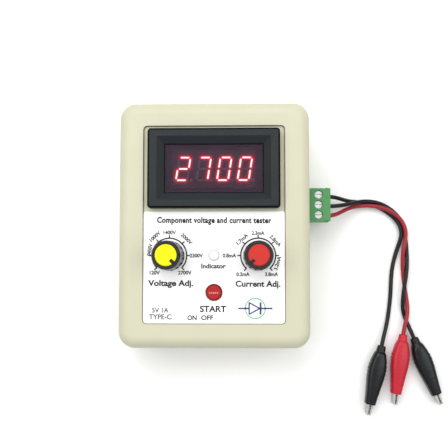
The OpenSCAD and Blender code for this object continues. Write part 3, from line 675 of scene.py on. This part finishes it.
# Ticks in degrees from the top; each value's words, offset from the dial's centre, width and turn
VOLTAGE_TICKS = [-134, -90, -39, 0, 47, 90, 134]
VOLTAGE_MARKS = [
    ("120V", -5.3, -6.2, 3.7, 0), ("0450V", -7.2, 2.1, 4.4, 79), ("1000V", -5.25, 7.0, 4.7, 43),
    ("1400V", 0.1, 8.4, 4.55, 0), ("2000V", 6.25, 6.05, 5.0, -45), ("2300V", 9.8, 0, 4.8, 0),
    ("2700V", 5.65, -6.2, 4.85, 0),
]
CURRENT_TICKS = [-137, -90, -49, 0, 49, 90, 137]
CURRENT_MARKS = [
    ("0.2mA", -5.5, -6.75, 4.8, 0), ("0.8mA", -10.4, 0, 4.95, 0), ("1.7mA", -5.8, 5.95, 5.0, 42),
    ("2.3mA", 0, 8.15, 4.65, 0), ("2.8mA", 6.25, 5.35, 5.1, -46), ("3.2mA", 6.95, -2.75, 5.1, 73),
    ("3.8mA", 4.8, -6.75, 4.7, 0),
]
printed("print_voltage_dial", dial(VOLTAGE_DIAL, VOLTAGE_TICKS, VOLTAGE_MARKS), BLACK_INK)
printed("print_current_dial", dial(CURRENT_DIAL, CURRENT_TICKS, CURRENT_MARKS), BLACK_INK)
printed(
    "print_title",
    [lettering("Component voltage and current tester", 0.05, 1.45, 41.6, 1.95, -0.3, 0.043, 1.08)],
    BLACK_INK,
)
printed(
    "print_words",
    [
        lettering("Voltage Adj.", -15.7, -21.35, 16.4, 2.0, -0.2, 0.032),
        lettering("Current Adj.", 15.9, -21.6, 16.2, 2.0, -0.2, 0.032),
        lettering("Indicator", -0.15, -15.2, 8.95, 1.55, 0, 0.035),
        lettering("START", -0.3, -30.65, 9.5, 2.1, 0, 0.03),
        lettering("ON", -7.9, -33.8, 3.35, 1.6, 0, 0.03),
        lettering("OFF", -2.4, -33.8, 4.35, 1.6, 0, 0.03),
    ],
    BLACK_INK,
)
printed(
    "print_inlet",
    [
        lettering("5V 1A", -19.4, -31.1, 6.0, 1.65, 0, 0.025),
        lettering("TYPE-C", -19.4, -33.5, 8.2, 1.7, 0, 0.025),
    ],
    GREY_INK,
)


def diode_symbol(x, y):
    """A plain diode sign: a triangle, a bar and its two leads."""
    back, top, tip = (x - 2.2, y - 2.1), (x - 2.2, y + 2.1), (x + 1.6, y)
    side, bar, lead = 0.5, 0.7, 0.6
    return [
        ribbon([back, top], side), ribbon([top, tip], side), ribbon([back, tip], side),
        ribbon([(x + 1.9, y - 2.2), (x + 1.9, y + 2.2)], bar),
        ribbon([(x - 6.2, y), (x - 2.3, y)], lead),
        ribbon([(x + 2.0, y), (x + 6.2, y)], lead),
    ]


SYMBOL = (14.9, -30.45)
SYMBOL_R = 3.6
printed("print_symbol", diode_symbol(*SYMBOL), BLUE_INK)
printed("print_symbol_ring", [ribbon(arc(*SYMBOL, SYMBOL_R, 0, 354, 59), 0.4, closed=True)], TEAL_INK)
BUTTON_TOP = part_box("start_button")[1].z / MM
BUTTON_Y = -24.7
WORN_INK = ink("ink_worn", (0.78, 0.32, 0.29))
button_print = lettering("START", 0, BUTTON_Y - 0.15, 3.5, 0.55, 0, 0.03, base=BUTTON_TOP)
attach(piece("print_button", *button_print, WORN_INK, "button_red"), "start_button")


# ---------- bezel: painted shade over its rounded edge, and painted shadow lines round the window and the recess ---

METER_Y = 20.2
BEZEL_CORNER = 1.2
BEZEL_ROUND = 0.6
EDGE_SHADE_BAND = 0.68  # how far the painted shade reaches in over the bezel's face
SKIN = 0.015  # how far the skin of painted shade stands off the bezel
WINDOW = (36.2, 18.1)
WINDOW_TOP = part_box("meter_window")[1].z / MM
RECESS = (51.8, 72.2)
LINE_T = 0.04
LINE_LIFT = 0.01  # how far a line stands off the face under it, and inside its outline
# Near-black and almost unreflecting: painted shade on the bezel's rim and painted shadow round the window.
PAINTED_SHADE_BLACK = moulded("painted_bezel_shade", (0.004, 0.0045, 0.005), 0.4, 0.3, 0.004, 0.2, gloss=0.06).material


def outline(half_w, half_h, corner, z, y=METER_Y):
    """Points round a rectangle with rounded corners, centred on the meter or on y."""
    points = []
    for sx, sy, start in ((1, 1, 0), (-1, 1, 90), (-1, -1, 180), (1, -1, 270)):
        for step in range(7):
            a = math.radians(start + 15 * step)
            x = sx * (half_w - corner) + corner * math.cos(a)
            points.append((x, y + sy * (half_h - corner) + corner * math.sin(a), z))
    return points


def add_painted_bezel_shade():
    """A near-black skin over the bezel's sides and rounded rim: painted shade where the rim turns down."""
    low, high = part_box("meter_housing")
    half_w, half_h, top = (high.x - low.x) / 2 / MM, (high.y - low.y) / 2 / MM, high.z / MM
    bend, foot = BEZEL_ROUND + SKIN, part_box("front_label")[0].z / MM + 0.1
    rings = [outline(half_w + SKIN, half_h + SKIN, BEZEL_CORNER, foot)]
    for step in range(8):
        a = math.radians(11.5 * step)
        inset = BEZEL_ROUND - bend * math.cos(a)
        z = top - BEZEL_ROUND + bend * math.sin(a)
        rings.append(outline(half_w - inset, half_h - inset, BEZEL_CORNER - inset, z))
    rings.append(outline(half_w - EDGE_SHADE_BAND, half_h - EDGE_SHADE_BAND, BEZEL_CORNER - EDGE_SHADE_BAND, top + SKIN))
    edge = piece("painted_bezel_shade", *loft(rings, closed_ends=False), PAINTED_SHADE_BLACK, "bezel_plastic", smooth=True)
    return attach(edge, "case")


def painted_shadow_line(name, size, corner, width, y, z, finish, slot):
    """A thin dark line just inside a rectangle: painted shadow where one part meets another."""
    half_w, half_h = size[0] / 2 - LINE_LIFT, size[1] / 2 - LINE_LIFT
    outer, inner = (0, corner), (width, max(corner - width, 0.02))
    section = [(outer, LINE_LIFT), (outer, LINE_T), (inner, LINE_T), (inner, LINE_LIFT), (outer, LINE_LIFT)]
    rings = [outline(half_w - inset, half_h - inset, bend, z + up, y) for (inset, bend), up in section]
    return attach(piece(name, *loft(rings, closed_ends=False), finish, slot), "case")


add_painted_bezel_shade()
# Painted shadow round the window, where the bezel's funnel meets the pane.
painted_shadow_line("painted_window_shadow", WINDOW, 0.05, 0.32, METER_Y, WINDOW_TOP, PAINTED_SHADE_BLACK, "bezel_plastic")
# Painted shadow along the foot of the recess wall, where the wall's shade falls round the label.
PAINTED_RECESS_SHADE = moulded("painted_recess_shadow", (0.15, 0.147, 0.105), 0.6, 0.3, 0.004, 0.2, gloss=0.1).material
painted_shadow_line("painted_recess_shadow", RECESS, 1.5, 0.22, 0, LABEL_TOP, PAINTED_RECESS_SHADE, "case_plastic")


# ---------- display: glow on its face and the bright cores of the lit segments ----------

DIGIT_PITCH = 7.5
DIGIT_H = 9.14
DIGIT_W = 4.9
BAR_T = 0.85
SLANT = math.tan(math.radians(9))
FACE_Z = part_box("meter_display")[1].z / MM
SEGMENT_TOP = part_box("meter_segments_lit")[1].z / MM
HALF_W, HALF_H = (DIGIT_W - BAR_T) / 2, (DIGIT_H - BAR_T) / 2
BAR_TRIM = 0.6  # how far short of each end of its bar a bright core stops
# Each bar's centre, and half its length across or up the digit
BARS = [
    (0, HALF_H, HALF_W, 0), (HALF_W, HALF_H / 2, 0, HALF_H / 2), (HALF_W, -HALF_H / 2, 0, HALF_H / 2),
    (0, -HALF_H, HALF_W, 0), (-HALF_W, -HALF_H / 2, 0, HALF_H / 2), (-HALF_W, HALF_H / 2, 0, HALF_H / 2),
    (0, 0, HALF_W, 0),
]
# The lit bars of each digit, which read 2700
LIT = [[0, 1, 3, 4, 6], [0, 1, 2], [0, 1, 2, 3, 4, 5], [0, 1, 2, 3, 4, 5]]


def lit_bars():
    """Both ends of each lit bar's centre line, in millimetres on the panel."""
    ends = []
    for i, which in enumerate(LIT):
        for bar in which:
            x, y, across, up = BARS[bar]
            trim = 1 - BAR_TRIM / max(across, up)
            pair = []
            for s in (-1, 1):
                a, b = x + s * across * trim, y + s * up * trim
                pair.append(Vector(((i - 1.5) * DIGIT_PITCH + a + b * SLANT, METER_Y + b)))
            ends.append(pair)
    return ends


def core(a, b, half):
    """A long six-sided bar from a to b that stands just on top of a segment."""
    along = (b - a).normalized()
    off = Vector((-along.y, along.x)) * half
    corners = [a - along * half * 0.6, a + off, b + off, b + along * half * 0.6, b - off, a - off]
    low = [(p.x, p.y, SEGMENT_TOP - 0.02) for p in corners]
    high = [(p.x, p.y, SEGMENT_TOP + 0.03) for p in corners]
    sides = [(k, (k + 1) % 6, (k + 1) % 6 + 6, k + 6) for k in range(6)]
    return low + high, [tuple(range(5, -1, -1)), tuple(range(6, 12)), *sides]


CORE_HALF = 0.28
bars = lit_bars()
cores = piece(
    "digit_cores",
    *joined([core(a, b, CORE_HALF) for a, b in bars]),
    segment_finish("digit_core", (0.9, 0.5, 0.5), PINK_CORE, 4.4),
    "segment_lit",
)
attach(cores, "case")


def distance(p, a, b):
    """How far p is from the line between a and b."""
    t = max(0.0, min(1.0, (p - a).dot(b - a) / (b - a).length_squared))
    return (p - a - t * (b - a)).length


GLOW_COLUMNS = 124
GLOW_ROWS = 58
NEAR_GLOW = 0.62
NEAR_REACH = 0.72
WIDE_GLOW = 0.065
WIDE_REACH = 1.6


def add_glow():
    """A fine sheet on the display's face that says how near each point is to a lit segment."""
    low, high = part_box("meter_display")
    points, light = [], []
    for j in range(GLOW_ROWS + 1):
        for i in range(GLOW_COLUMNS + 1):
            x = low.x / MM + (high.x - low.x) / MM * i / GLOW_COLUMNS
            y = low.y / MM + (high.y - low.y) / MM * j / GLOW_ROWS
            near = min(distance(Vector((x, y)), a, b) for a, b in bars)
            points.append((x, y, FACE_Z + 0.02))
            halo = NEAR_GLOW * math.exp(-((near / NEAR_REACH) ** 2))
            light.append(halo + WIDE_GLOW * math.exp(-near / WIDE_REACH))
    faces = []
    for j in range(GLOW_ROWS):
        for i in range(GLOW_COLUMNS):
            k = j * (GLOW_COLUMNS + 1) + i
            faces.append((k, k + 1, k + GLOW_COLUMNS + 2, k + GLOW_COLUMNS + 1))
    face = piece("display_face", points, faces, glow_finish(), "display_body", smooth=True)
    face.data.attributes.new("glow", "FLOAT", "POINT").data.foreach_set("value", light)
    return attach(face, "case")


add_glow()


# ---------- studio ----------

FLOOR_HALF = 1500
FLOOR_Z = -0.03


def add_floor():
    """A plain pale floor, just under what the object stands on."""
    g = Graph("floor")
    pale = g.mix(g.spread(g.noise(60, 3), 0, 1), (0.95, 0.95, 0.95), (0.97, 0.97, 0.97))
    g.link(pale, g.shader.inputs["Base Color"])
    g.shader.inputs["Roughness"].default_value = 0.9
    corners = [(x * FLOOR_HALF, y * FLOOR_HALF, FLOOR_Z) for x, y in ((-1, -1), (1, -1), (1, 1), (-1, 1))]
    floor = bpy.data.meshes.new("floor")
    floor.from_pydata([Vector(p) * MM for p in corners], [], [(0, 1, 2, 3)])
    floor.materials.append(g.material)
    obj = bpy.data.objects.new("floor", floor)
    scene.collection.objects.link(obj)


def add_light(name, place, target, size, power):
    """A white square light at place, facing target."""
    light = bpy.data.lights.new(name, "AREA")
    light.size, light.energy = size * MM, power
    obj = bpy.data.objects.new(name, light)
    scene.collection.objects.link(obj)
    look_from(obj, place, target)


def add_world():
    """White light from all round, brighter overhead than toward the horizon."""
    world = bpy.data.worlds.new("studio")
    scene.world = world
    world.use_nodes = True
    tree = world.node_tree
    way = tree.nodes.new("ShaderNodeSeparateXYZ")
    tree.links.new(tree.nodes.new("ShaderNodeTexCoord").outputs["Generated"], way.inputs[0])
    fall = tree.nodes.new("ShaderNodeMapRange")
    fall.inputs["To Min"].default_value = HORIZON
    fall.inputs["To Max"].default_value = ZENITH
    tree.links.new(way.outputs["Z"], fall.inputs["Value"])
    tree.links.new(fall.outputs["Result"], tree.nodes["Background"].inputs["Strength"])
    tree.nodes["Background"].inputs["Color"].default_value = (1, 1, 1, 1)


HORIZON = 0.26
ZENITH = 0.85
# Each light's place, its size and its power
LIGHTS = {
    "key": ((-90, 410, 575), 520, 2.35),
    "right": ((400, 60, 600), 460, 1.35),
    "left": ((-400, 60, 600), 400, 1.05),
}
add_floor()
add_world()
for name, (place, size, power) in LIGHTS.items():
    add_light(name, place, (0, 0, 20), size, power)
